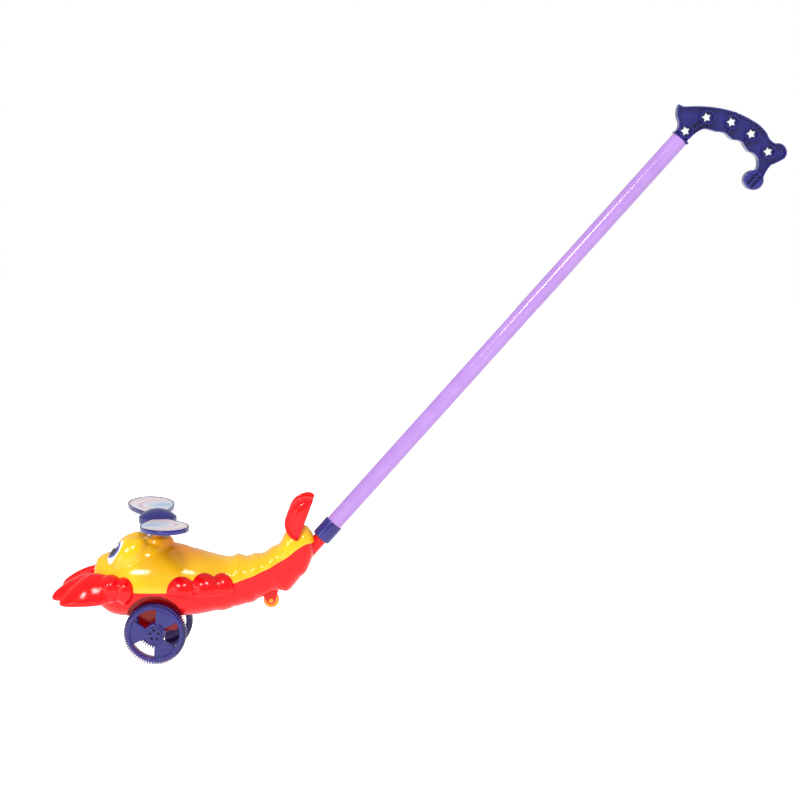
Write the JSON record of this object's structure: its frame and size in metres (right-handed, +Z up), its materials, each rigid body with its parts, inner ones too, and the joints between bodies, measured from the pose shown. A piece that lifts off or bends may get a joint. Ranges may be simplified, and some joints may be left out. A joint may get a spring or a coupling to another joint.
{
  "type": "push-along lobster toy",
  "caption": "Push-along toy lobster on toothed wheels: a long pole steers it, and rolling spins a rotor on its back through gears.",
  "frame": {"origin": "on the floor, midway between the two wheels, under the axle", "axes": "-X to the lobster's nose, +X to the handle, -Y to the lobster's left, +Z up"},
  "size_m": [0.7266, 0.2182, 0.5535],
  "materials": {
    "red_plastic": "glossy moulded",
    "yellow_plastic": "glossy moulded",
    "violet_plastic": "glossy moulded",
    "lilac_plastic": "smooth extruded",
    "orange_plastic": "glossy moulded",
    "gear_plastic": "satin moulded",
    "eye_print": "printed, glossy",
    "label_print": "printed film",
    "axle_steel": "drawn",
    "screw_steel": "zinc plated"
  },
  "bodies": {
    "body": {"lower_hull": "red_plastic", "upper_shell": "yellow_plastic", "tail_fan_left": "red_plastic", "tail_fan_right": "red_plastic", "eye_left": "eye_print", "eye_right": "eye_print", "shaft_bush": "gear_plastic", "gear_bracket": "gear_plastic", "bracket_screws": "screw_steel", "shell_screws": "screw_steel", "pole_collar": "violet_plastic", "pole_tube": "lilac_plastic", "handle": "violet_plastic"},
    "wheels": {"wheel_left": "violet_plastic", "wheel_right": "violet_plastic", "wheel_axle": "axle_steel", "crown_gear": "gear_plastic"},
    "rotor": {"pinion": "gear_plastic", "rotor_shaft": "axle_steel", "rotor_blades": "violet_plastic", "blade_label_left": "label_print", "blade_label_right": "label_print"},
    "roller": {"tail_roller": "orange_plastic"}
  },
  "joints": [
    {"name": "wheel_spin", "type": "hinge", "parent": "body", "child": "wheels", "pos_m": [0, 0, 0.031], "axis": [0, 1, 0], "continuous": true},
    {"name": "rotor_spin", "type": "hinge", "parent": "body", "child": "rotor", "pos_m": [0, 0, 0.137], "axis": [0, 0, 1], "continuous": true},
    {"name": "roller_spin", "type": "hinge", "parent": "body", "child": "roller", "pos_m": [0.11399, 0, 0.05844], "axis": [0, 1, 0], "continuous": true}
  ],
  "couplings": [
    {"joint": "rotor_spin", "follows": "wheel_spin", "ratio": -1.5}
  ]
}
